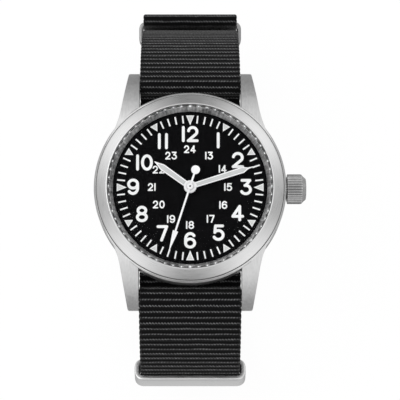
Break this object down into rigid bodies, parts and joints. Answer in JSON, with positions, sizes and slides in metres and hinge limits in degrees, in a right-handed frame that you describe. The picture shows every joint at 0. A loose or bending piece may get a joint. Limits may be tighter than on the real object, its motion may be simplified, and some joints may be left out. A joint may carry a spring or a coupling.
{
  "type": "field watch",
  "caption": "Round satin-steel field watch with a black numeral dial, three hands, a fluted crown, and a ribbed pass-through fabric strap closed by a tongue buckle.",
  "frame": {"origin": "under the dial's centre, on the strap's face that lies on the wrist", "axes": "+Z along the dial's normal away from the wrist, +Y towards 12 o'clock, +X towards the crown at 3 o'clock"},
  "size_m": [0.0418, 0.0816, 0.0654],
  "materials": {
    "case_steel": "satin",
    "crown_steel": "satin",
    "crystal_glass": "polished",
    "gasket_rubber": "matte",
    "inner_ring": "satin",
    "holder_plastic": "matte",
    "movement_steel": "satin",
    "movement_brass": "satin",
    "motor_iron": "satin",
    "coil_copper": "satin, wound copper wire",
    "can_steel": "polished",
    "board_resin": "gloss",
    "dial_black": "matte",
    "marker_paint": "matte",
    "hand_white": "satin",
    "bar_steel": "satin",
    "strap_fabric": "ribbed weave",
    "hardware_steel": "satin"
  },
  "bodies": {
    "watch": {"case": "case_steel", "case_back": "case_steel", "bezel": "case_steel", "crystal": "crystal_glass", "rehaut_ring": "inner_ring", "movement_holder": "holder_plastic", "crown_tube": "movement_steel", "bridge_screws": "movement_steel", "battery_clamp": "movement_steel", "main_plate": "movement_brass", "train_bridge": "movement_brass", "stator": "motor_iron", "coil_core": "motor_iron", "coil_winding": "coil_copper", "battery": "can_steel", "quartz_can": "can_steel", "circuit_board": "board_resin", "dial": "dial_black", "hour_markers": "marker_paint", "spring_bar_12": "bar_steel", "spring_bar_6": "bar_steel", "bar_spring_12": "bar_steel", "bar_spring_6": "bar_steel", "strap_long": "strap_fabric", "strap_tail": "strap_fabric", "strap_short": "strap_fabric", "strap_ring": "hardware_steel", "keeper_upper": "hardware_steel", "keeper_lower": "hardware_steel"},
    "crown_slide": {"crown_gasket": "gasket_rubber"},
    "crown": {"crown": "crown_steel", "stem": "movement_steel"},
    "clutch": {"sliding_pinion": "movement_steel"},
    "setting_lever": {"setting_lever": "movement_steel"},
    "minute": {"cannon_pinion": "movement_brass", "minute_hand": "hand_white"},
    "minute_wheel": {"minute_wheel": "movement_brass"},
    "hour": {"hour_wheel": "movement_brass", "hour_hand": "hand_white"},
    "seconds": {"fourth_wheel": "movement_brass", "second_hand": "hand_white"},
    "third": {"third_wheel": "movement_brass"},
    "centre": {"centre_wheel": "movement_brass"},
    "fifth": {"fifth_wheel": "movement_brass"},
    "rotor": {"rotor": "movement_steel"},
    "bar_tip_12_right": {"bar_tip_12_right": "bar_steel"},
    "bar_tip_12_left": {"bar_tip_12_left": "bar_steel"},
    "bar_tip_6_right": {"bar_tip_6_right": "bar_steel"},
    "bar_tip_6_left": {"bar_tip_6_left": "bar_steel"},
    "buckle": {"buckle_frame": "hardware_steel", "buckle_bar": "hardware_steel"},
    "tongue": {"buckle_tongue": "hardware_steel"}
  },
  "joints": [
    {"name": "crown_pull", "type": "slide", "parent": "watch", "child": "crown_slide", "axis": [1, 0, 0], "range_m": [0, 0.001]},
    {"name": "crown_turn", "type": "hinge", "parent": "crown_slide", "child": "crown", "pos_m": [0.01905, 0, 0.0059], "axis": [1, 0, 0], "continuous": true},
    {"name": "clutch_slide", "type": "slide", "parent": "crown", "child": "clutch", "axis": [1, 0, 0], "range_m": [-0.0016, 0]},
    {"name": "setting_lever_turn", "type": "hinge", "parent": "watch", "child": "setting_lever", "pos_m": [0.00905, 0.0028, 0.0059], "axis": [0, 0, 1], "range_deg": [0, 20.3]},
    {"name": "minute_turn", "type": "hinge", "parent": "watch", "child": "minute", "pos_m": [0, 0, 0.0059], "axis": [0, 0, 1], "continuous": true},
    {"name": "minute_wheel_turn", "type": "hinge", "parent": "watch", "child": "minute_wheel", "pos_m": [0.00301, -0.00109, 0.0059], "axis": [0, 0, 1], "continuous": true},
    {"name": "hour_turn", "type": "hinge", "parent": "watch", "child": "hour", "pos_m": [0, 0, 0.0059], "axis": [0, 0, 1], "continuous": true},
    {"name": "seconds_turn", "type": "hinge", "parent": "watch", "child": "seconds", "pos_m": [0, 0, 0.0059], "axis": [0, 0, 1], "continuous": true},
    {"name": "third_turn", "type": "hinge", "parent": "watch", "child": "third", "pos_m": [0.00105, -0.00288, 0.0059], "axis": [0, 0, 1], "continuous": true},
    {"name": "centre_turn", "type": "hinge", "parent": "watch", "child": "centre", "pos_m": [0, 0, 0.0059], "axis": [0, 0, 1], "continuous": true},
    {"name": "fifth_turn", "type": "hinge", "parent": "watch", "child": "fifth", "pos_m": [-0.00053, 0.00301, 0.0059], "axis": [0, 0, 1], "continuous": true},
    {"name": "rotor_turn", "type": "hinge", "parent": "watch", "child": "rotor", "pos_m": [0.00073, 0.0052, 0.0059], "axis": [0, 0, 1], "continuous": true},
    {"name": "bar_tip_12_right_press", "type": "slide", "parent": "watch", "child": "bar_tip_12_right", "axis": [-1, 0, 0], "range_m": [0, 0.00095], "stiffness_N_per_m": 800, "springref_m": -0.001, "deforming": ["bar_spring_12"]},
    {"name": "bar_tip_12_left_press", "type": "slide", "parent": "watch", "child": "bar_tip_12_left", "axis": [1, 0, 0], "range_m": [0, 0.00095], "stiffness_N_per_m": 800, "springref_m": -0.001, "deforming": ["bar_spring_12"]},
    {"name": "bar_tip_6_right_press", "type": "slide", "parent": "watch", "child": "bar_tip_6_right", "axis": [-1, 0, 0], "range_m": [0, 0.00095], "stiffness_N_per_m": 800, "springref_m": -0.001, "deforming": ["bar_spring_6"]},
    {"name": "bar_tip_6_left_press", "type": "slide", "parent": "watch", "child": "bar_tip_6_left", "axis": [1, 0, 0], "range_m": [0, 0.00095], "stiffness_N_per_m": 800, "springref_m": -0.001, "deforming": ["bar_spring_6"]},
    {"name": "buckle_turn", "type": "hinge", "parent": "watch", "child": "buckle", "pos_m": [0, 0.013, -0.05029], "axis": [1, 0, 0], "range_deg": [0, 40], "deforming": ["strap_tail"]},
    {"name": "tongue_turn", "type": "hinge", "parent": "buckle", "child": "tongue", "pos_m": [0, 0.013, -0.05029], "axis": [1, 0, 0], "range_deg": [0, 50], "deforming": ["strap_tail"]}
  ],
  "couplings": [
    {"joint": "clutch_slide", "follows": "crown_pull", "ratio": -1.6},
    {"joint": "setting_lever_turn", "follows": "crown_pull", "rad_per_m": 353.4},
    {"joint": "minute_wheel_turn", "follows": "minute_turn", "ratio": -0.33333},
    {"joint": "hour_turn", "follows": "minute_turn", "ratio": 0.083333},
    {"joint": "third_turn", "follows": "seconds_turn", "ratio": -0.13333},
    {"joint": "centre_turn", "follows": "seconds_turn", "ratio": 0.016667},
    {"joint": "fifth_turn", "follows": "seconds_turn", "ratio": -5},
    {"joint": "rotor_turn", "follows": "seconds_turn", "ratio": 30}
  ]
}
